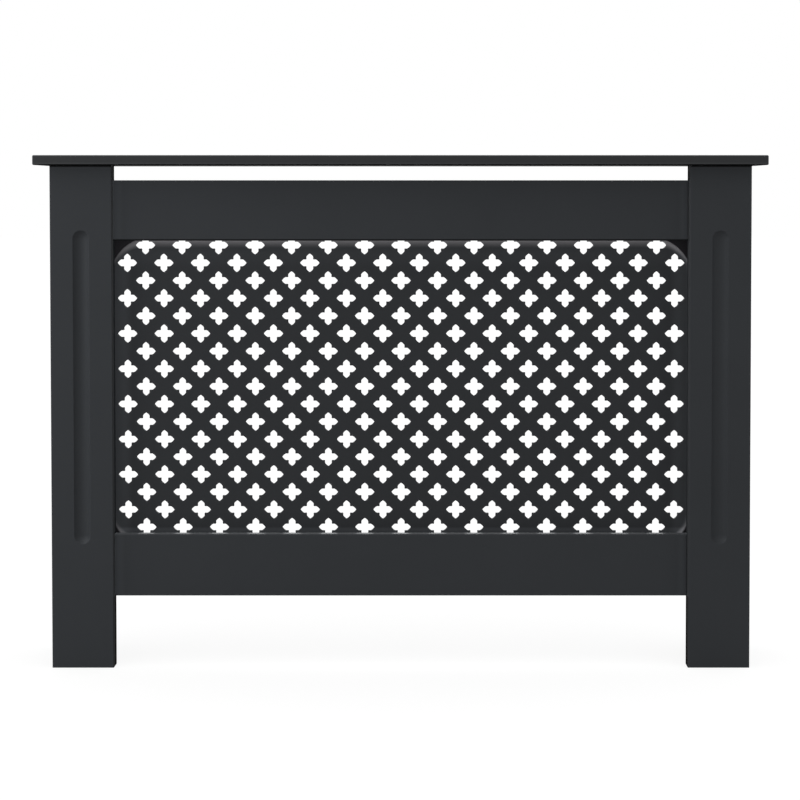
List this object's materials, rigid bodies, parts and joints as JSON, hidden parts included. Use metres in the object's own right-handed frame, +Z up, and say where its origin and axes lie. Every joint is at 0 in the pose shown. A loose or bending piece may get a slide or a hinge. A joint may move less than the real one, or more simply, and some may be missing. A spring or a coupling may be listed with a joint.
{
  "type": "radiator cover cabinet",
  "caption": "Free-standing cabinet that hides a wall radiator: a shelf on fluted posts with a pierced grille board between two rails, open at the back, below and under the shelf.",
  "frame": {"origin": "the middle of the cabinet's footprint, on the floor", "axes": "+X along the width, to the right as seen from the front; +Y from the front to the wall; +Z up"},
  "size_m": [1.12, 0.19, 0.79],
  "materials": {
    "painted_board": "fibreboard with a satin anthracite paint",
    "painted_grille": "routed fibreboard with a satin anthracite paint",
    "softwood": "planed, bare",
    "beech_dowel": "turned, bare",
    "plated_steel": "zinc plated",
    "plated_screw": "yellow zinc plated"
  },
  "bodies": {
    "root": {"top_shelf": "painted_board", "left_post": "painted_board", "right_post": "painted_board", "left_stile": "painted_board", "right_stile": "painted_board", "left_side_panel": "painted_board", "right_side_panel": "painted_board", "upper_rail": "painted_board", "lower_rail": "painted_board", "grille_board": "painted_grille", "left_corner_batten": "softwood", "right_corner_batten": "softwood", "left_shelf_cleat": "softwood", "right_shelf_cleat": "softwood", "left_wall_bracket": "plated_steel", "right_wall_bracket": "plated_steel", "left_post_screws": "plated_screw", "right_post_screws": "plated_screw", "left_batten_screws": "plated_screw", "right_batten_screws": "plated_screw", "left_cleat_screws": "plated_screw", "right_cleat_screws": "plated_screw", "left_shelf_screws": "plated_screw", "right_shelf_screws": "plated_screw", "left_bracket_screws": "plated_screw", "right_bracket_screws": "plated_screw", "grille_screws": "plated_screw", "left_shelf_dowels": "beech_dowel", "right_shelf_dowels": "beech_dowel", "upper_rail_dowels": "beech_dowel", "lower_rail_dowels": "beech_dowel"}
  },
  "joints": []
}
